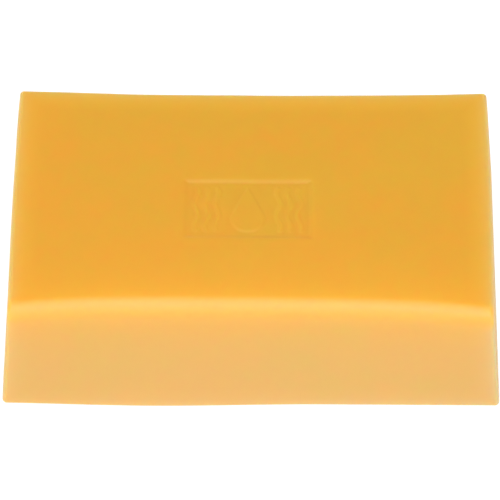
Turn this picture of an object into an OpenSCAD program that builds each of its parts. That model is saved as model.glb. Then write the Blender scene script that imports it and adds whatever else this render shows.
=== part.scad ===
// Detailing clay bar: one moulded block of paint-cleaning clay, 100 g.
// Millimetres. The origin is the middle of the base, +X runs along the bar,
// -Y is the front and +Z is up. The block leans in from its base to its top,
// its top face is crowned, and a shallow stamp is pressed into it.

/* [Bar] */
// Length of the base, from end to end
bar_l = 80; // [60:1:110]
// Width of the base, from front to back
bar_w = 50; // [40:1:80]
// Height of the walls, without the crown
bar_h = 21.9; // [14:0.1:36]
// Rise of the top face at its middle
crown = 0.4; // [0:0.1:1.5]

/* [Walls] */
// Lean of the back and end walls, from the base to the top
draft = 1.8; // [0:0.1:3]
// Lean of the front wall at its corners
front_draft = 1.2; // [0:0.1:3]
// How far the middle of the front wall's top stands back from its corners
front_bow = 1.5; // [0:0.1:3]
// The same for the back wall
back_bow = 0.7; // [0:0.1:3]

/* [Edges] */
// Radius of the upright edges, seen from above
corner_r = 0.7; // [0.6:0.1:4]
// Radius of the top edges
top_r = 0.7; // [0.5:0.1:3]
// Radius of the front top edge, which handling has softened
front_r = 2.8; // [1:0.1:4]
// Radius of the bottom edges
foot_r = 0.7; // [0.3:0.1:2.5]

/* [Stamp] */
// Length of the pressed panel
stamp_l = 21; // [14:0.5:40]
// Width of the pressed panel
stamp_w = 12.5; // [10:0.5:26]
// Depth of the pressed panel below the top of the crown
stamp_depth = 0.2; // [0.2:0.1:1.5]
// Corner radius of the pressed panel
stamp_r = 0.6; // [0.5:0.1:3]
// Flat border of the crown round the panel
stamp_border = 2; // [1:0.5:4]
// How far the panel sits in front of the bar's middle
stamp_forward = 2.3; // [0:0.1:5]
// How far the panel sits to the left of the bar's middle
stamp_left = 0.6; // [0:0.1:6]

/* [Motif] */
// Height of the motif above the panel's floor
motif_h = 0.1; // [0.1:0.05:0.5]
// Clear floor between the motif and the panel's wall
motif_gap = 1.6; // [0.5:0.1:3]
// Radius of the water drop in the middle
drop_r = 2.7; // [1:0.1:4]
// Number of ripples on each side of the drop
ripples = 3; // [1:1:6]
// Width of each ripple's line
ripple_line = 0.7; // [0.4:0.1:1.2]
// Rise and fall of each ripple
ripple_wave = 0.3; // [0:0.1:1]

/* [Hidden] */
clay_colour = "goldenrod";
half_l = bar_l / 2;
half_w = bar_w / 2;
top_z = bar_h + crown;
stamp_floor = top_z - stamp_depth;
over = 1;            // how far a cutter stands proud of what it cuts
corner_steps = 4;    // facets in each upright edge
end_steps = 8;       // facets along each end wall
side_steps = 14;     // facets along the front and the back wall
fillet_steps = 5;    // facets in the top edge
foot_steps = 3;      // facets in the bottom edge
wall_steps = 3;      // facets between the two edges
crown_steps = 5;     // facets from the top edge to the flat middle of the crown
front_zone = 0.8;    // share of the half width beyond which a point belongs to the front or the back wall
wave_steps = 24;     // facets along a ripple
$fn = 48;

// ---- The block ----

// 1 at the middle of a side and 0 at its ends
function middling(share) = max(0, 1 - share * share);

// 0 inside front_zone, rising to 1 at the wall itself
function near_wall(share) = min(1, max(0, (share - front_zone) / (1 - front_zone)));

function mix(a, b, share) = a + (b - a) * share;

// The base outline, anticlockwise from the front right corner: an arc at each
// corner and then evenly spaced points along the wall that follows it
function corner_centre(i) = [
    (i < 2 ? 1 : -1) * (half_l - corner_r),
    (i == 1 || i == 2 ? 1 : -1) * (half_w - corner_r)
];
function corner_point(i, step) =
    let (angle = 90 * (i - 1) + 90 * step / corner_steps)
    corner_centre(i) + corner_r * [cos(angle), sin(angle)];
function wall_points(i) =
    let (
        from = corner_point(i, corner_steps),
        to = corner_point((i + 1) % 4, 0),
        steps = i % 2 == 0 ? end_steps : side_steps
    )
    [for (k = [1:steps - 1]) mix(from, to, k / steps)];
outline = [
    for (i = [0:3]) each concat(
        [for (step = [0:corner_steps]) corner_point(i, step)],
        wall_points(i)
    )
];

// Radius of the top edge above a point of the outline. It changes from top_r to front_r
// round the upright edge.
function edge_r(p) = mix(top_r, front_r, max(0, 1 - (half_w + p.y) / corner_r));

// How far the top of the wall stands back there, beyond the draft. The front's bow is
// even along most of the wall, and the back's falls away from the middle.
function bow(p) =
    near_wall(-p.y / half_w) * (front_draft - draft + front_bow * middling(pow(p.x / half_l, 2)))
    - near_wall(p.y / half_w) * back_bow * middling(p.x / half_l);

// A point of the outline at height z, drawn in along x and y by inset and by the wall's
// lean, which starts where the bottom edge ends
function lifted(p, z, inset) =
    let (share = max(0, z - foot_r) / (bar_h - foot_r), drawn_in = inset + draft * share * [1, 1])
    [p.x * (1 - drawn_in.x / half_l), p.y * (1 - drawn_in.y / half_w) + bow(p) * share, z];

// How far the top edge draws a point in, where its arc has turned by angle
function edge_inset(p, angle) = (1 - cos(angle)) * [top_r, edge_r(p)];

// The same point on the flat middle of the crown, round the stamp
function on_crown(p) = [
    p.x / half_l * (stamp_l / 2 + stamp_border) - stamp_left,
    p.y / half_w * (stamp_w / 2 + stamp_border) - stamp_forward,
    top_z
];

// The rings from the base to the flat middle of the crown
function foot_ring(angle) =
    [for (p = outline) lifted(p, foot_r * (1 + sin(angle)), foot_r * (1 - cos(angle)) * [1, 1])];
function wall_ring(share) =
    [for (p = outline) lifted(p, mix(foot_r, bar_h - edge_r(p), share), [0, 0])];
function edge_ring(angle) =
    [for (p = outline) lifted(p, bar_h - edge_r(p) * (1 - sin(angle)), edge_inset(p, angle))];
function crown_ring(share) =
    [for (p = outline) let (edge = lifted(p, bar_h, edge_inset(p, 90)), inner = on_crown(p))
        [mix(edge.x, inner.x, share), mix(edge.y, inner.y, share), bar_h + crown * sin(90 * share)]];
rings = concat(
    [for (k = [0:foot_steps - 1]) foot_ring(-90 + 90 * k / foot_steps)],
    [for (k = [0:wall_steps - 1]) wall_ring(k / wall_steps)],
    [for (k = [0:fillet_steps]) edge_ring(90 * k / fillet_steps)],
    [for (k = [1:crown_steps]) crown_ring(k / crown_steps)]
);

module block() {
    n = len(outline);
    last = len(rings) - 1;
    base_middle = n * len(rings);
    top_middle = base_middle + 1;
    polyhedron(
        concat(
            [for (ring = rings) each ring],
            [[0, 0, 0], [-stamp_left, -stamp_forward, top_z]]
        ),
        [for (i = [0:n - 1])
            let (j = (i + 1) % n)
            each concat(
                [[base_middle, i, j]],
                [for (k = [0:last - 1])
                    let (here = k * n, above = here + n)
                    each [[here + i, above + j, here + j], [here + i, above + i, above + j]]],
                [[top_middle, last * n + j, last * n + i]]
            )],
        convexity = 4
    );
}

// ---- The stamp ----

module rounded_panel(length, width, r) {
    square([length - 2 * r, width], center = true);
    square([length, width - 2 * r], center = true);
    for (x = [-1, 1], y = [-1, 1])
        translate([x * (length / 2 - r), y * (width / 2 - r)]) circle(r);
}

// A water drop with its point towards the back of the bar. Its straight sides
// leave the circle where they are tangent to it.
module drop() {
    tip = stamp_w - 2 * motif_gap - drop_r;
    tangent = acos(drop_r / tip);
    translate([0, motif_gap + drop_r - stamp_w / 2]) {
        circle(drop_r);
        polygon([
            [0, tip],
            drop_r * [-sin(tangent), cos(tangent)],
            [0, 0],
            drop_r * [sin(tangent), cos(tangent)]
        ]);
    }
}

// One wavy line with round ends, running across the panel and centred on the origin
module ripple(length) {
    reach = length / 2 - ripple_line / 2;
    middle = [
        for (k = [0:wave_steps])
            let (y = mix(-reach, reach, k / wave_steps))
            [ripple_wave * sin(720 * y / length), y]
    ];
    half_line = [ripple_line / 2, 0];
    polygon(concat(
        [for (p = middle) p + half_line],
        [for (k = [wave_steps:-1:0]) middle[k] - half_line]
    ));
    for (end = [middle[0], middle[wave_steps]])
        translate(end) circle(ripple_line / 2);
}

module motif() {
    drop();
    half_ripple = ripple_line / 2 + ripple_wave;
    first = drop_r + motif_gap + half_ripple;
    last = stamp_l / 2 - motif_gap - half_ripple;
    for (side = [0, 1], k = [0:ripples - 1])
        mirror([side, 0])
            translate([ripples == 1 ? (first + last) / 2 : mix(first, last, k / (ripples - 1)), 0])
                ripple(stamp_w - 2 * motif_gap);
}

// What the stamp presses away: the panel, less the motif that stands on its floor
module stamp() {
    translate([-stamp_left, -stamp_forward, stamp_floor])
        difference() {
            linear_extrude(stamp_depth + over)
                rounded_panel(stamp_l, stamp_w, stamp_r);
            translate([0, 0, -over]) linear_extrude(motif_h + over) motif();
        }
}

module clay_bar() {
    color(clay_colour)
        difference() {
            block();
            stamp();
        }
}

clay_bar();
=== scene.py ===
# %% [markdown]
# # A detailing clay bar
# The object is one block of soft amber clay, pressed in a mould. It leans in from its base
# to its top, its edges are rounded, and its front top edge is the softest. A shallow stamp
# is pressed into its top face. There is only one piece to make, so the lesson is about
# making that piece well. Its shape follows a rule, so Geometry Nodes write it, and one
# material carries the waxy, slightly see-through look of the clay.

# %% Open the frame
import math

import bpy
from mathutils import Matrix, Vector


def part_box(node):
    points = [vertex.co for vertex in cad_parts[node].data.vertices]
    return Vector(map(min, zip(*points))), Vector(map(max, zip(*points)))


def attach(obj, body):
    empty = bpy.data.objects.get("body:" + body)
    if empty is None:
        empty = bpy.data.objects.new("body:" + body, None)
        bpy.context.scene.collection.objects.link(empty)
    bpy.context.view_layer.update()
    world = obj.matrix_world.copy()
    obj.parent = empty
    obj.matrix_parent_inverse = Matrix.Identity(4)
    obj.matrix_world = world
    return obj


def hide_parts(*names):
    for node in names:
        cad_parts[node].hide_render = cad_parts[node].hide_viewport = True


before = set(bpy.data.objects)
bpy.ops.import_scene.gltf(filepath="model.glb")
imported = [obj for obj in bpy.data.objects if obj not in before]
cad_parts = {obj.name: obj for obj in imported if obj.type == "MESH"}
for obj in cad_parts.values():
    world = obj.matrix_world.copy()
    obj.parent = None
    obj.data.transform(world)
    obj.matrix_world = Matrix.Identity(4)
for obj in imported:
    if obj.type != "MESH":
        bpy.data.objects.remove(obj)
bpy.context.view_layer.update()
MM = 0.001
low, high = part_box("clay_bar")
length, width, height = high - low
print("the bar is", [round(size / MM, 2) for size in (length, width, height)], "mm")

# %% [markdown]
# ## Sizes
# The overall size comes from the frame. The rest are the sizes that a mould maker would
# write on the drawing, in millimetres: how far the walls lean and bow, how round each edge
# is, and where the stamp sits. They repeat the design's own values.

# %% Sizes of the block
CROWN = 0.4
DRAFT, FRONT_DRAFT = 1.8, 1.2
FRONT_BOW, BACK_BOW = 1.5, 0.7
CORNER_R, TOP_R, FRONT_R, FOOT_R = 0.7, 0.7, 2.8, 0.7
print("edges:", CORNER_R, TOP_R, FRONT_R, FOOT_R)

# %% Sizes of the stamp
STAMP_L, STAMP_W, STAMP_DEPTH, STAMP_R = 21.0, 12.5, 0.2, 0.6
STAMP_LEFT, STAMP_FORWARD = 0.6, 2.3
MOTIF_H, MOTIF_GAP, DROP_R = 0.1, 1.6, 2.7
RIPPLES, RIPPLE_LINE, RIPPLE_WAVE = 3, 0.7, 0.3
print("stamp:", STAMP_L, "x", STAMP_W, "mm")

# %% [markdown]
# ## Writing node trees as sums
# A Geometry Nodes tree for a rule like this one needs a hundred small Math nodes. Placing
# them one by one hides the rule. Here a socket is wrapped in a class whose plus, minus,
# times and divide signs each add one Math node, so that the rule can be read as a formula
# and still ends up as an ordinary tree.


# %% A field that can be added and multiplied
class Field:
    """A value that differs from point to point: one socket of a node tree."""

    def __init__(self, socket):
        self.socket = socket

    def __add__(self, other):
        return calc("ADD", self, other)

    def __sub__(self, other):
        return calc("SUBTRACT", self, other)

    def __mul__(self, other):
        return calc("MULTIPLY", self, other)

    def __truediv__(self, other):
        return calc("DIVIDE", self, other)

    def __neg__(self):
        return calc("MULTIPLY", self, -1.0)

    __radd__, __rmul__ = __add__, __mul__

    def __rsub__(self, other):
        return calc("SUBTRACT", other, self)


def plug(value, socket):
    """Links a field to a socket, or writes a plain number into it."""
    if isinstance(value, Field):
        socket.id_data.links.new(value.socket, socket)
    else:
        socket.default_value = value


def calc(operation, *values):
    """One Math node, in the tree that its fields belong to."""
    tree = next(value.socket.id_data for value in values if isinstance(value, Field))
    node = tree.nodes.new("ShaderNodeMath")
    node.operation = operation
    for value, socket in zip(values, node.inputs):
        plug(value, socket)
    return Field(node.outputs[0])


print("fields ready")


# %% The few functions the rule needs
def least(a, b):
    return calc("MINIMUM", a, b)


def most(a, b):
    return calc("MAXIMUM", a, b)


def size_of(a):
    return calc("ABSOLUTE", a)


def blend(a, b, share):
    return a + (b - a) * share


def ramp(value, start, end, kind="LINEAR"):
    """0 at start, 1 at end, and held there beyond both."""
    node = value.socket.id_data.nodes.new("ShaderNodeMapRange")
    node.interpolation_type = kind
    for share, socket in zip((value, start, end), node.inputs):
        plug(share, socket)
    return Field(node.outputs["Result"])


def soft_step(value, start, end):
    return ramp(value, start, end, "SMOOTHSTEP")


def split(vector):
    """The three parts of a vector field."""
    node = vector.socket.id_data.nodes.new("ShaderNodeSeparateXYZ")
    plug(vector, node.inputs[0])
    return [Field(part) for part in node.outputs]


def join(tree, x, y, z):
    """A vector field from its three parts."""
    node = tree.nodes.new("ShaderNodeCombineXYZ")
    for part, socket in zip((x, y, z), node.inputs):
        plug(part, socket)
    return Field(node.outputs[0])


print("functions ready")


# %% [markdown]
# ## Starting a tree
# Each step of the shape is a node group of its own, with a geometry going in and one
# coming out, and with its sizes as named inputs. `new_step` makes the group and hands back
# its inputs as fields. `add` places a node and sets what it needs in one line.


# %% Node groups with named inputs
def add(tree, kind, **inputs):
    """A node with some of its inputs set, by name."""
    node = tree.nodes.new(kind)
    for name, value in inputs.items():
        plug(value, node.inputs[name.replace("_", " ")])
    return node


def new_step(name, sizes, geometry_in=True):
    """A Geometry Nodes group, its geometry input and its sizes as fields."""
    tree = bpy.data.node_groups.new(name, "GeometryNodeTree")
    tree.interface.new_socket("Geometry", in_out="OUTPUT", socket_type="NodeSocketGeometry")
    if geometry_in:
        tree.interface.new_socket("Geometry", in_out="INPUT", socket_type="NodeSocketGeometry")
    for label, value in sizes.items():
        socket = tree.interface.new_socket(label, in_out="INPUT", socket_type="NodeSocketFloat")
        socket.default_value = value
        socket.subtype = "DISTANCE"
    inputs = tree.nodes.new("NodeGroupInput")
    fields = {socket.name: Field(socket) for socket in inputs.outputs if socket.name}
    return tree, fields


def move(tree, geometry, **where):
    """Set Position on a geometry, to a new place or by an offset."""
    return Field(add(tree, "GeometryNodeSetPosition", Geometry=geometry, **where).outputs[0])


def store(tree, geometry, name, value):
    """Keeps a number on every point, for the material to read."""
    node = tree.nodes.new("GeometryNodeStoreNamedAttribute")
    node.data_type, node.domain = "FLOAT", "POINT"
    for item, socket in ((geometry, "Geometry"), (name, "Name"), (value, "Value")):
        plug(item, node.inputs[socket])
    return Field(node.outputs[0])


def close_step(tree, geometry):
    """Ends a group and sets its nodes out in columns, from left to right."""
    output = tree.nodes.new("NodeGroupOutput")
    plug(geometry, output.inputs[0])
    depth = {}

    def find_depth(node):
        if node.name not in depth:
            depth[node.name] = 0
            before = [link.from_node for socket in node.inputs for link in socket.links]
            depth[node.name] = 1 + max(map(find_depth, before), default=0)
        return depth[node.name]

    column_length = {}
    for node in tree.nodes:
        column = find_depth(node)
        row = column_length[column] = column_length.get(column, 0) + 1
        node.location = column * 200, -row * 180
    return tree


print("groups ready")

# %% [markdown]
# ## Where the points go
# The block starts as a Mesh Cube, which gives evenly numbered rows of points. Even rows
# would waste most of them on plain flat clay, so the rows are spread out unevenly. There is
# a row every tenth of a millimetre at the tight edges, every fifth of one round the soft
# front edge and across the stamp, and about one a millimetre elsewhere. A stretch is a
# length and the step between its rows.

# %% Stretches of rows
EDGE, FINE, PLAIN = 0.1, 0.2, 1.05
EDGE_ZONE, FRONT_ZONE = 1.6, 4.0
STAMP_ZONE = 1.0

stamp_x, stamp_y = -STAMP_LEFT, -STAMP_FORWARD
half_l, half_w = length / MM / 2, width / MM / 2
wall_h = height / MM - CROWN
reach_x, reach_y = STAMP_L / 2 + STAMP_ZONE, STAMP_W / 2 + STAMP_ZONE
along = [
    (EDGE_ZONE, EDGE),
    (half_l + stamp_x - reach_x - EDGE_ZONE, PLAIN),
    (2 * reach_x, FINE),
    (half_l - stamp_x - reach_x - EDGE_ZONE, PLAIN),
    (EDGE_ZONE, EDGE),
]
across = [
    (FRONT_ZONE, FINE),
    (half_w + stamp_y - reach_y - FRONT_ZONE, PLAIN),
    (2 * reach_y, FINE),
    (half_w - stamp_y - reach_y - EDGE_ZONE, PLAIN),
    (EDGE_ZONE, EDGE),
]
upward = [(EDGE_ZONE, EDGE), (wall_h - EDGE_ZONE - FRONT_ZONE, PLAIN), (FRONT_ZONE, FINE)]


def steps_in(stretch):
    return round(stretch[0] / stretch[1])


def spread(share, stretches, start):
    """Places the rows of a cube one unit long along the stretches, in metres."""
    row = (share + 0.5) * float(sum(map(steps_in, stretches)))
    place, first = start * MM, 0.0
    for stretch in stretches:
        last = first + steps_in(stretch)
        place = ramp(row, first, last) * (stretch[0] * MM) + place
        first = last
    return place


counts = [sum(map(steps_in, stretches)) + 1 for stretches in (along, across, upward)]
print("rows of points:", counts)

# %% [markdown]
# ## The block
# The block is a profile, seen from its end, that runs along the bar and is rounded off at
# both ends. So the rule has two steps. The first rounds the corners of the profile, the
# front top one softly and the others tightly. The second pulls the outline of each end
# inwards along an arc, wherever on the profile a point lies, so the tight end edge follows
# the soft front one round. Each step takes a square corner and pushes it onto an arc. The
# walls then lean in and bow, each in proportion to the height.

# %% The block's inputs
block_sizes = {
    "Length": length,
    "Width": width,
    "Wall height": wall_h * MM,
    "Draft": DRAFT * MM,
    "Front draft": FRONT_DRAFT * MM,
    "Front bow": FRONT_BOW * MM,
    "Back bow": BACK_BOW * MM,
    "Corner radius": CORNER_R * MM,
    "Top radius": TOP_R * MM,
    "Front radius": FRONT_R * MM,
    "Foot radius": FOOT_R * MM,
    "Crown": CROWN * MM,
}
block, size = new_step("Clay block", block_sizes, geometry_in=False)
cube = add(block, "GeometryNodeMeshCube", Size=(1.0, 1.0, 1.0))
for name, count in zip(("Vertices X", "Vertices Y", "Vertices Z"), counts):
    cube.inputs[name].default_value = count
shape = Field(cube.outputs["Mesh"])
print(len(block_sizes), "sizes")

# %% Rows spread over the plain box
share_x, share_y, share_z = split(Field(block.nodes.new("GeometryNodeInputPosition").outputs[0]))
plain_box = join(
    block,
    spread(share_x, along, -half_l),
    spread(share_y, across, -half_w),
    spread(share_z, upward, 0.0),
)
shape = move(block, shape, Position=plain_box)
print("box laid out")


# %% Gaps to the box's faces
def position_in(tree):
    return split(Field(tree.nodes.new("GeometryNodeInputPosition").outputs[0]))


x, y, z = position_in(block)
half_x, half_y = size["Length"] * 0.5, size["Width"] * 0.5
drop = size["Wall height"] - z
gap_x, gap_y, gap_z = half_x - size_of(x), half_y - size_of(y), least(z, drop)
side_x, side_y, side_z = calc("SIGN", x), calc("SIGN", y), calc("SIGN", z - drop)
print("gaps written")


# %% From a square corner to a round one
HAIR = 0.001


def longer(a, b):
    """The long side of a right triangle whose short sides are a and b."""
    return calc("SQRT", a * a + b * b)


def round_off(radius, first_gap, second_gap):
    """How far a square corner moves in from its two faces to become an arc."""
    first, second = most(radius - first_gap, 0.0), most(radius - second_gap, 0.0)
    across_corner = most(longer(first, second), HAIR * MM)
    in_corner = calc("GREATER_THAN", least(first, second), 0.0)
    pulled = (1.0 - most(first, second) / across_corner) * in_corner
    facing = first / across_corner, second / across_corner
    return first * pulled, second * pulled, facing


print("corner rule ready")

# %% The profile and its ends
FRONT_FROM, FRONT_FULL = 0.6, 0.88
HIGH_FROM, HIGH_FULL = 0.5, 0.8
front_share = soft_step(-y / half_y, FRONT_FROM, FRONT_FULL)
back_share = soft_step(y / half_y, FRONT_FROM, FRONT_FULL)
high_share = soft_step(z / size["Wall height"], HIGH_FROM, HIGH_FULL)
high_radius = blend(size["Top radius"], size["Front radius"], front_share)
radius = blend(size["Foot radius"], high_radius, high_share)
in_y, in_z, facing = round_off(radius, gap_y, gap_z)
in_x, end_in, _ = round_off(size["Corner radius"], gap_x, least(gap_y, gap_z))
round_x = x - side_x * in_x
round_y = y - side_y * (in_y + end_in * facing[0])
round_z = z - side_z * (in_z + end_in * facing[1])
print("profile and ends written")

# %% How near each point is to an edge
smallest = least(least(gap_x, gap_y), gap_z)
largest = most(most(gap_x, gap_y), gap_z)
edge_gap = gap_x + gap_y + gap_z - smallest - largest
crease_gap = most(half_y + y, drop)
shape = store(block, shape, "edge_gap", edge_gap)
shape = store(block, shape, "crease_gap", crease_gap)
shape = store(block, shape, "drop", drop)
print("edge distances kept for the material")

# %% Leaning and bowing
across_share = x / half_x
square = across_share * across_share
up_share = ramp(round_z, size["Foot radius"], size["Wall height"])
drawn_in = size["Draft"] * up_share
front_set = size["Front draft"] - size["Draft"]
front_bow = (front_set + size["Front bow"] * (1.0 - square * square)) * front_share
back_bow = size["Back bow"] * back_share * (1.0 - square)
lean_x = round_x * (1.0 - drawn_in / half_x)
lean_y = round_y * (1.0 - drawn_in / half_y) + (front_bow - back_bow) * up_share
print("walls lean and bow")

# %% Crowning
CROWN_FLAT, CROWN_REACH, CROWN_FROM = 0.3, 0.98, 0.7
dome_x = soft_step(size_of(across_share), 1.0, CROWN_FLAT)
dome_y = soft_step(size_of(y - stamp_y * MM) / half_y, CROWN_REACH, CROWN_FLAT)
near_top = soft_step(round_z / size["Wall height"], CROWN_FROM, 1.0)
crowned_z = round_z + size["Crown"] * dome_x * dome_y * near_top
shape = move(block, shape, Position=join(block, lean_x, lean_y, crowned_z))
close_step(block, shape)
print("block:", len(block.nodes), "nodes")

# %% [markdown]
# ## What hands and the mould leave behind
# Soft clay never stays perfectly true. It dents by a tenth of a millimetre where it was
# held, and its base hollows a little as it sets. Its weight pushes the foot of the front
# wall out by half a millimetre, left of the middle, and the front edge ends up a little
# askew. A bump map would not show any of this along the outline, so the real surface is
# moved instead: by a Noise Texture with a fixed seed for the dents, everywhere but where
# the bar touches the table, and by smooth pushes for the rest.

# %% The handling's inputs
handling_sizes = {
    "Long dents": 0.14 * MM,
    "Short dents": 0.04 * MM,
    "Base hollow": 0.12 * MM,
    "Foot slump": 0.5 * MM,
    "Front skew": 0.25 * MM,
    "End swell": 0.3 * MM,
}
handling, size = new_step("Handling", handling_sizes)
print(len(handling_sizes), "sizes")

# %% Dents
LONG_WAVE, SHORT_WAVE = 19.0, 6.5
DENT_SEED = 7.3
DENTS_FROM, DENTS_FULL = 0.3, 4.0


def noise(tree, wave, seed):
    """A smooth noise from -1 to 1, with waves about so many millimetres long."""
    node = add(tree, "ShaderNodeTexNoise", Scale=1 / (wave * MM), Detail=1.0)
    node.noise_dimensions = "4D"
    node.inputs["W"].default_value = seed
    return Field(node.outputs[0]) * 2.0 - 1.0


x, y, z = position_in(handling)
clear_of_base = soft_step(z, DENTS_FROM * MM, DENTS_FULL * MM)
dents = noise(handling, LONG_WAVE, DENT_SEED) * size["Long dents"]
dents = dents + noise(handling, SHORT_WAVE, DENT_SEED + 1) * size["Short dents"]
amount = dents * clear_of_base
normal = handling.nodes.new("GeometryNodeInputNormal")
along_normal = add(handling, "ShaderNodeVectorMath")
along_normal.operation = "SCALE"
plug(Field(normal.outputs[0]), along_normal.inputs[0])
plug(amount, along_normal.inputs["Scale"])
shape = move(handling, size["Geometry"], Offset=Field(along_normal.outputs[0]))
print("dents written")

# %% Hollow base
BASE_RIM, BASE_SKIN = 5.0, 0.1
x, y, z = position_in(handling)
hollow_x = soft_step(size_of(x), (half_l - BASE_RIM) * MM, 0.0)
hollow_y = soft_step(size_of(y), (half_w - BASE_RIM) * MM, 0.0)
hollow = size["Base hollow"] * hollow_x * hollow_y * soft_step(z, BASE_SKIN * MM, 0.0)
shape = move(handling, shape, Offset=join(handling, 0.0, 0.0, hollow))
print("hollow written")

# %% Slump, skew and swell
SLUMP_X, SLUMP_REACH = -16.0, 28.0
x, y, z = position_in(handling)
half_x, half_y = length / 2, width / 2
up_share = z / height
front_share = soft_step(-y / half_y, 0.0, 1.0)
slump = soft_step(size_of(x - SLUMP_X * MM), SLUMP_REACH * MM, 0.0)
slump = size["Foot slump"] * slump * (1.0 - up_share)
skew = size["Front skew"] * (x / half_x) * up_share
depth_share = y / half_y
swell = size["End swell"] * (x / half_x) * (1.0 - depth_share * depth_share) * up_share
pushed = join(handling, swell, -(slump + skew) * front_share, 0.0)
shape = move(handling, shape, Offset=pushed)
close_step(handling, shape)
print("handling:", len(handling.nodes), "nodes")

# %% [markdown]
# ## The stamp
# A shape drawn as a distance is easy to press into a surface. The distance to the panel's
# outline is negative inside and positive outside, so one soft step of it makes a wall with
# a rounded rim. A narrow, very low hump just outside it makes the lip of clay that the
# stamp squeezed up. The motif, a water drop between ripples, is the same idea again,
# standing up from the floor of the panel.

# %% The stamp's inputs
stamp_sizes = {
    "Panel length": STAMP_L * MM,
    "Panel width": STAMP_W * MM,
    "Panel corner": STAMP_R * MM,
    "Panel depth": STAMP_DEPTH * MM,
    "Wall": 1.1 * MM,
    "Lip": 0.02 * MM,
    "Motif height": MOTIF_H * MM,
    "Motif edge": 0.6 * MM,
    "Drop radius": DROP_R * MM,
    "Ripple line": RIPPLE_LINE * MM,
    "Ripple wave": RIPPLE_WAVE * MM,
}
stamp, size = new_step("Stamp", stamp_sizes)
x, y, z = position_in(stamp)
x, y = x - stamp_x * MM, y - stamp_y * MM
print(len(stamp_sizes), "sizes")

# %% The panel
PANEL_RIM = 0.1
TOP_FROM, TOP_FULL = 0.5, 0.9
past_x = size_of(x) - (size["Panel length"] * 0.5 - size["Panel corner"])
past_y = size_of(y) - (size["Panel width"] * 0.5 - size["Panel corner"])
outside = longer(most(past_x, 0.0), most(past_y, 0.0)) + least(most(past_x, past_y), 0.0)
outside = outside - size["Panel corner"]
on_top = soft_step(z, TOP_FROM * height, TOP_FULL * height)
pressed = soft_step(outside, PANEL_RIM * MM, PANEL_RIM * MM - size["Wall"]) * on_top
print("panel drawn")

# %% The drop
tip = size["Panel width"] - 2 * MOTIF_GAP * MM - size["Drop radius"]
drop_y = y + size["Panel width"] * 0.5 - MOTIF_GAP * MM - size["Drop radius"]
slope = size["Drop radius"] / tip
rise = calc("SQRT", 1.0 - slope * slope)
on_side = calc("GREATER_THAN", drop_y * rise - size_of(x) * slope, 0.0)
from_side = size_of(x) * rise + drop_y * slope - size["Drop radius"]
from_round = longer(x, drop_y) - size["Drop radius"]
from_drop = blend(from_round, from_side, on_side)
print("drop drawn")

# %% The ripples
WAVES = 2
half_ripple = size["Ripple line"] * 0.5 + size["Ripple wave"]
first_x = size["Drop radius"] + MOTIF_GAP * MM + half_ripple
last_x = size["Panel length"] * 0.5 - MOTIF_GAP * MM - half_ripple
pitch = (last_x - first_x) / float(RIPPLES - 1)
ripple_l = size["Panel width"] - 2 * MOTIF_GAP * MM
half_reach = ripple_l * 0.5 - size["Ripple line"] * 0.5
held_y = most(least(y, half_reach), -half_reach)
swing = calc("SINE", held_y / ripple_l * (WAVES * 2 * math.pi))
beside = size_of(x) - size["Ripple wave"] * swing
row = most(least(calc("ROUND", (beside - first_x) / pitch), float(RIPPLES - 1)), 0.0)
from_line = longer(beside - first_x - row * pitch, y - held_y)
from_ripple = from_line - size["Ripple line"] * 0.5
print(RIPPLES, "ripples a side drawn")

# %% Pressing it in
LIP_PLACE, LIP_WIDTH = 0.55, 0.45
from_motif = least(from_drop, from_ripple)
raised = soft_step(from_motif, size["Motif edge"] * 0.5, size["Motif edge"] * -0.5) * pressed
from_lip = (outside - LIP_PLACE * MM) / (LIP_WIDTH * MM)
lip = calc("EXPONENT", -(from_lip * from_lip)) * on_top
depth = size["Lip"] * lip - size["Panel depth"] * pressed + size["Motif height"] * raised
shape = move(stamp, size["Geometry"], Offset=join(stamp, 0.0, 0.0, depth))
close_step(stamp, shape)
print("stamp:", len(stamp.nodes), "nodes")

# %% [markdown]
# ## The clay
# Detailing clay is a dense, waxy putty. Light goes a few millimetres into it before it
# comes out again, so its edges glow, and the surface has a low, broad sheen. A flat colour
# would look like painted plastic. Subsurface scattering gives the depth. The colour drifts
# a little, as kneaded clay does. Light is painted into the colour as well. The walls are
# painted paler and milkier than the top, a painted reflection of the bright table. Every
# edge band is painted brighter, a painted glow of light coming through the clay. The last
# millimetre at every edge and the crest of the front edge carry a pale painted highlight.
# The clay next to the soft front edge is painted brighter and warmer, a painted glow.
# Three sizes of bump make the surface: soft waves, a fine grain, and a few pits where a
# bubble met the mould.

# %% Tones of the clay
DEEP = (0.790, 0.424, 0.008, 1.0)
WARM = (0.850, 0.398, 0.008, 1.0)
# Painted reflection: the walls are painted paler and milkier than the top, standing for the
# bright table mirrored in them.
PAINTED_SHEEN = (0.700, 0.432, 0.080, 1.0)
PAINTED_SHEEN_WARM = (0.740, 0.413, 0.084, 1.0)
# Painted glow: the band along every edge is painted brighter, standing for light that comes
# through the clay at its edges.
LIT_RIM_TOP = (0.890, 0.535, 0.008, 1.0)
LIT_RIM_WALL = (0.740, 0.465, 0.110, 1.0)
# Painted highlight: a pale, whitish tone for the crest of the front edge and a thin line along
# every edge.
EDGE_HIGHLIGHT = (0.610, 0.530, 0.290, 1.0)
# Painted glow next to the soft front edge, where light comes into the clay.
GLOW = (0.980, 0.495, 0.008, 1.0)
clay = bpy.data.materials.new("amber clay")
clay.use_nodes = True
clay.node_tree.nodes.clear()
shader_tree = clay.node_tree
surface = shader_tree.nodes.new("ShaderNodeBsdfPrincipled")
ending = shader_tree.nodes.new("ShaderNodeOutputMaterial")
shader_tree.links.new(surface.outputs[0], ending.inputs["Surface"])
print("clay tones set")


# %% Helpers for the material
def place_nodes():
    return shader_tree.nodes.new("ShaderNodeTexCoord").outputs["Object"]


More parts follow.
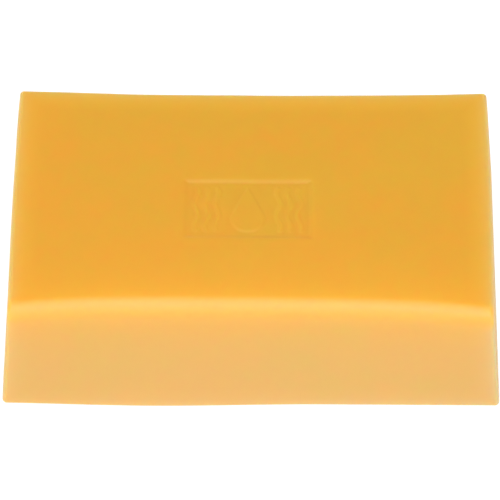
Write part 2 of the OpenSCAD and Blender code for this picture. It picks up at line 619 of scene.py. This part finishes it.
def grain(wave, seed, detail=2.0):
    """Noise on the piece's own coordinates, from 0 to 1, waves in millimetres."""
    node = add(shader_tree, "ShaderNodeTexNoise", Scale=1 / (wave * MM), Detail=detail)
    node.noise_dimensions = "4D"
    node.inputs["W"].default_value = seed
    shader_tree.links.new(place_nodes(), node.inputs["Vector"])
    return Field(node.outputs[0])


def kept(name):
    """A number that the shape's own tree stored on its points."""
    node = shader_tree.nodes.new("ShaderNodeAttribute")
    node.attribute_name = name
    return Field(node.outputs["Fac"])


def mix_tones(first, second, share):
    node = shader_tree.nodes.new("ShaderNodeMix")
    node.data_type = "RGBA"
    plug(share, node.inputs["Factor"])
    for tone, socket in ((first, node.inputs["A"]), (second, node.inputs["B"])):
        plug(tone, socket)
    return Field(node.outputs["Result"])


print("helpers ready")

# %% Where the clay changes
WALL_FROM, WALL_FULL = 0.3, 2.5
CREST_WIDTH, CREST_FULL = 2.5, 0.4
END_FROM = 0.94
x, y, _ = split(Field(place_nodes()))
sideways, forward = x / (half_l * MM), y / (-half_w * MM)
near_end = soft_step(size_of(sideways), END_FROM, 1.0)
on_wall = soft_step(kept("drop"), WALL_FROM * MM, WALL_FULL * MM)
# Where the painted highlight along the soft front edge lies.
crest_highlight = soft_step(kept("crease_gap"), CREST_WIDTH * MM, CREST_FULL * MM)
print("places ready")


# %% How tones fade with distance
SHEEN_WIDTH, GLOW_WIDTH, LIT_RIM_WIDTH, THIN_WIDTH = 3.5, 6.0, 4.5, 0.9
THIN_FROM, THIN_FULL = 0.5, 4.0


def fading(name, width):
    """1 where a kept distance is zero, and a third of that after each width."""
    return calc("EXPONENT", kept(name) / (-width * MM))


# How much painted reflection a point gets: more the further down a wall it lies.
painted_sheen_share = 1.0 - fading("drop", SHEEN_WIDTH)
near_crease = fading("crease_gap", GLOW_WIDTH)
# Painted glow: strongest at an edge and gone a few millimetres in.
lit_rim = ramp(kept("edge_gap"), LIT_RIM_WIDTH * MM, 0.0)
clear_of_crease = soft_step(kept("crease_gap"), THIN_FROM * MM, THIN_FULL * MM)
# Painted highlight in the last millimetre of every edge.
thin_highlight = fading("edge_gap", THIN_WIDTH) * most(clear_of_crease, near_end)
print("fades ready")

# %% Colour
LONG_DRIFT, SHORT_DRIFT = 14.0, 5.0
DRIFT_FROM, DRIFT_FULL = 0.38, 0.62
SHORT_SHARE, FRONT_WARMTH = 0.4, 0.08
mottle = blend(grain(LONG_DRIFT, seed=2.1), grain(SHORT_DRIFT, seed=2.6), SHORT_SHARE)
drift = ramp(mottle + forward * FRONT_WARMTH, DRIFT_FROM, DRIFT_FULL)
tone = mix_tones(DEEP, WARM, drift)
# Painted reflection: the walls turn paler and milkier below the top edge.
tone = mix_tones(tone, mix_tones(PAINTED_SHEEN, PAINTED_SHEEN_WARM, drift), painted_sheen_share)
print("drift linked")

# %% Painted edge glow, front glow and highlights
LIT_RIM_SHARE, CREST_SHARE, THIN_SHARE, THIN_SLANT = 0.5, 0.2, 0.5, 0.25
GLOW_SHARE, WALL_LOSS, END_LOSS = 0.9, 0.6, 0.5
tone = mix_tones(tone, mix_tones(LIT_RIM_TOP, LIT_RIM_WALL, on_wall), lit_rim * LIT_RIM_SHARE)
# Painted glow: the clay near the soft front edge is painted brighter and warmer, less on the
# walls and at the ends.
painted_glow = near_crease * (GLOW_SHARE - on_wall * WALL_LOSS) * (1.0 - near_end * END_LOSS)
tone = mix_tones(tone, GLOW, painted_glow)
# Painted highlight on the front crest and along every edge, stronger on the right-hand walls,
# which catch more light.
painted_highlight = crest_highlight * CREST_SHARE + thin_highlight * (THIN_SHARE + sideways * on_wall * THIN_SLANT)
tone = mix_tones(tone, EDGE_HIGHLIGHT, least(painted_highlight, 1.0))
plug(tone, surface.inputs["Base Color"])
print("colour linked")

# %% Sheen and depth
POLISH, POLISH_DRIFT, POLISH_WAVE = 0.47, 0.1, 3.0
surface.subsurface_method = "RANDOM_WALK"
surface.inputs["Subsurface Weight"].default_value = 1.0
surface.inputs["Subsurface Radius"].default_value = (1.0, 0.55, 0.16)
surface.inputs["Subsurface Scale"].default_value = 3.5 * MM
surface.inputs["IOR"].default_value = 1.5
surface.inputs["Specular IOR Level"].default_value = 0.85
plug(POLISH + grain(POLISH_WAVE, seed=5.5) * POLISH_DRIFT, surface.inputs["Roughness"])
print("sheen set")

# %% Bump
WAVE_L, WAVE_H = 7.0, 0.05
GRAIN_L, GRAIN_H = 0.55, 0.008
PIT_SPACING, PIT_DEPTH = 3.2, 0.05
PIT_SHARE, PIT_RIM, PIT_FLOOR = 0.82, 0.11, 0.03
waves = (grain(WAVE_L, seed=11.0) - 0.5) * WAVE_H * MM
fine = (grain(GRAIN_L, seed=12.0, detail=3.0) - 0.5) * GRAIN_H * MM
cells = add(shader_tree, "ShaderNodeTexVoronoi", Scale=1 / (PIT_SPACING * MM))
shader_tree.links.new(place_nodes(), cells.inputs["Vector"])
chosen = ramp(split(Field(cells.outputs["Color"]))[0], PIT_SHARE, 1.0)
in_pit = soft_step(Field(cells.outputs["Distance"]), PIT_RIM, PIT_FLOOR)
pits = in_pit * chosen * (-PIT_DEPTH * MM)
bump = shader_tree.nodes.new("ShaderNodeBump")
bump.inputs["Distance"].default_value = 1.0
bump.inputs["Strength"].default_value = 1.0
plug(waves + fine + pits, bump.inputs["Height"])
shader_tree.links.new(bump.outputs[0], surface.inputs["Normal"])
print("clay:", len(shader_tree.nodes), "nodes")

# %% [markdown]
# ## Putting the steps together
# One more tree strings the three steps together, smooths the shading and gives the mesh its
# material. It is put on an empty mesh as a modifier, its inputs are set by their
# identifiers, and the evaluated result becomes a plain mesh with no modifier left on it.

# %% The whole recipe
recipe = bpy.data.node_groups.new("Clay bar", "GeometryNodeTree")
recipe.interface.new_socket("Geometry", in_out="OUTPUT", socket_type="NodeSocketGeometry")
recipe_inputs = {}
for sizes in (block_sizes, handling_sizes, stamp_sizes):
    for label, value in sizes.items():
        socket = recipe.interface.new_socket(
            label, in_out="INPUT", socket_type="NodeSocketFloat"
        )
        recipe_inputs[socket.identifier] = value
material_socket = recipe.interface.new_socket(
    "Clay", in_out="INPUT", socket_type="NodeSocketMaterial"
)
recipe_inputs[material_socket.identifier] = clay
recipe_in = recipe.nodes.new("NodeGroupInput")

shape = None
for step_tree in (block, handling, stamp):
    step = recipe.nodes.new("GeometryNodeGroup")
    step.node_tree = step_tree
    for socket in step.inputs:
        if socket.type == "GEOMETRY":
            plug(shape, socket)
        else:
            recipe.links.new(recipe_in.outputs[socket.name], socket)
    shape = Field(step.outputs[0])
shape = Field(add(recipe, "GeometryNodeSetShadeSmooth", Geometry=shape).outputs[0])
shape = Field(add(recipe, "GeometryNodeRealizeInstances", Geometry=shape).outputs[0])
shape = add(recipe, "GeometryNodeSetMaterial", Geometry=shape)
recipe.links.new(recipe_in.outputs["Clay"], shape.inputs["Material"])
close_step(recipe, Field(shape.outputs[0]))
print("recipe inputs:", len(recipe_inputs))


# %% From recipe to plain mesh
def made_by(tree, inputs, name):
    """Runs a tree on an empty mesh and keeps the result as a plain object."""
    start = bpy.data.objects.new(name + "_recipe", bpy.data.meshes.new(name + "_empty"))
    bpy.context.scene.collection.objects.link(start)
    modifier = start.modifiers.new(name, "NODES")
    modifier.node_group = tree
    for identifier, value in inputs.items():
        modifier[identifier] = value
    depsgraph = bpy.context.evaluated_depsgraph_get()
    mesh = bpy.data.meshes.new_from_object(
        start.evaluated_get(depsgraph), preserve_all_data_layers=True, depsgraph=depsgraph
    )
    bpy.data.objects.remove(start)
    mesh.name = name
    piece = bpy.data.objects.new(name, mesh)
    bpy.context.scene.collection.objects.link(piece)
    return piece


bar = made_by(recipe, recipe_inputs, "clay_block")
triangles = sum(len(face.vertices) - 2 for face in bar.data.polygons)
print("clay block:", len(bar.data.vertices), "points,", triangles, "triangles")
print("attributes:", [item.name for item in bar.data.attributes])

# %% It stands for the CAD bar
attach(bar, "root")
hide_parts("clay_bar")

# %% [markdown]
# ## The table and the light
# The bar lies on a plain white table that glows a little, like a light table, so the
# background is clean and light also comes from below and fills the walls. The room is
# bright at the height of the bar and dim overhead, where the top face mirrors it, so the
# top stays deep in colour. One big soft light hangs above and a little in front, and the
# round front edge catches it.

# %% Table
TABLE_SIZE, TABLE_GREY, TABLE_GLOW = 8.0, 0.35, 0.8
bpy.ops.mesh.primitive_plane_add(size=TABLE_SIZE, location=(0.0, 0.0, 0.0))
table = bpy.context.object
table.name = "table"
paper = bpy.data.materials.new("white table")
paper.use_nodes = True
sheet = paper.node_tree.nodes["Principled BSDF"]
sheet.inputs["Base Color"].default_value = (TABLE_GREY, TABLE_GREY, TABLE_GREY, 1.0)
sheet.inputs["Roughness"].default_value = 0.9
sheet.inputs["Specular IOR Level"].default_value = 0.0
sheet.inputs["Emission Color"].default_value = (1.0, 1.0, 1.0, 1.0)
sheet.inputs["Emission Strength"].default_value = TABLE_GLOW
table.data.materials.append(paper)
print("table laid")

# %% Room
HORIZON, ZENITH = 1.0, 0.25
DIM_FROM, DIM_FULL = 0.3, 0.65
room = bpy.data.worlds.new("room")
room.use_nodes = True
bpy.context.scene.world = room
air = room.node_tree
air.nodes.clear()
direction = Field(air.nodes.new("ShaderNodeTexCoord").outputs["Generated"])
upward_share = soft_step(split(direction)[2], DIM_FROM, DIM_FULL)
glow = air.nodes.new("ShaderNodeBackground")
plug(blend(HORIZON, ZENITH, upward_share), glow.inputs["Strength"])
around = air.nodes.new("ShaderNodeOutputWorld")
air.links.new(glow.outputs[0], around.inputs["Surface"])
print("room lit from", HORIZON, "to", ZENITH)


# %% Soft light
def soft_light(name, place, side, brightness):
    """A square soft light that faces the bar, its brightness as seen from the bar."""
    data = bpy.data.lights.new(name, "AREA")
    data.shape = "SQUARE"
    data.size = side
    data.energy = brightness * math.pi * side * side
    light = bpy.data.objects.new(name, data)
    light.location = place
    light.rotation_mode = "QUATERNION"
    light.rotation_quaternion = (-Vector(place)).to_track_quat("-Z", "Y")
    bpy.context.scene.collection.objects.link(light)
    return light


KEY_PLACE, KEY_SIDE, KEY_BRIGHTNESS = (-0.12, -0.50, 1.20), 1.4, 2.8
soft_light("key", KEY_PLACE, KEY_SIDE, KEY_BRIGHTNESS)
print("light hung")

# %% [markdown]
# ## The camera
# The bar is seen from in front and a little more above than in front, through a long lens
# from about an arm's length away, so the top face takes two thirds of its height. The long
# lens keeps the sides nearly parallel.

# %% Camera
LENS, SENSOR = 306.0, 36.0
DISTANCE = 0.6925
ELEVATION, AZIMUTH, ROLL = 50.92, 0.69, -0.2
AIM = Vector((0.0, 0.0, 0.010))
NUDGE_RIGHT, NUDGE_UP = -0.33 * MM, -0.64 * MM

rise_angle, turn_angle = math.radians(ELEVATION), math.radians(AZIMUTH)
back = Vector((
    math.sin(turn_angle) * math.cos(rise_angle),
    -math.cos(turn_angle) * math.cos(rise_angle),
    math.sin(rise_angle),
))
level_right = Vector((math.cos(turn_angle), math.sin(turn_angle), 0.0))
level_up = back.cross(level_right)
lean = math.radians(ROLL)
right = level_right * math.cos(lean) + level_up * math.sin(lean)
up = back.cross(right)
camera_data = bpy.data.cameras.new("camera")
camera_data.lens, camera_data.sensor_width = LENS, SENSOR
camera_data.clip_start, camera_data.clip_end = 0.05, 20.0
camera = bpy.data.objects.new("camera", camera_data)
place = AIM + back * DISTANCE + right * NUDGE_RIGHT + up * NUDGE_UP
turned = Matrix((right, up, back)).transposed().to_4x4()
camera.matrix_world = Matrix.Translation(place) @ turned
bpy.context.scene.collection.objects.link(camera)
bpy.context.scene.camera = camera
bpy.context.scene.view_settings.view_transform = "Standard"
print("camera", [round(part, 3) for part in place])
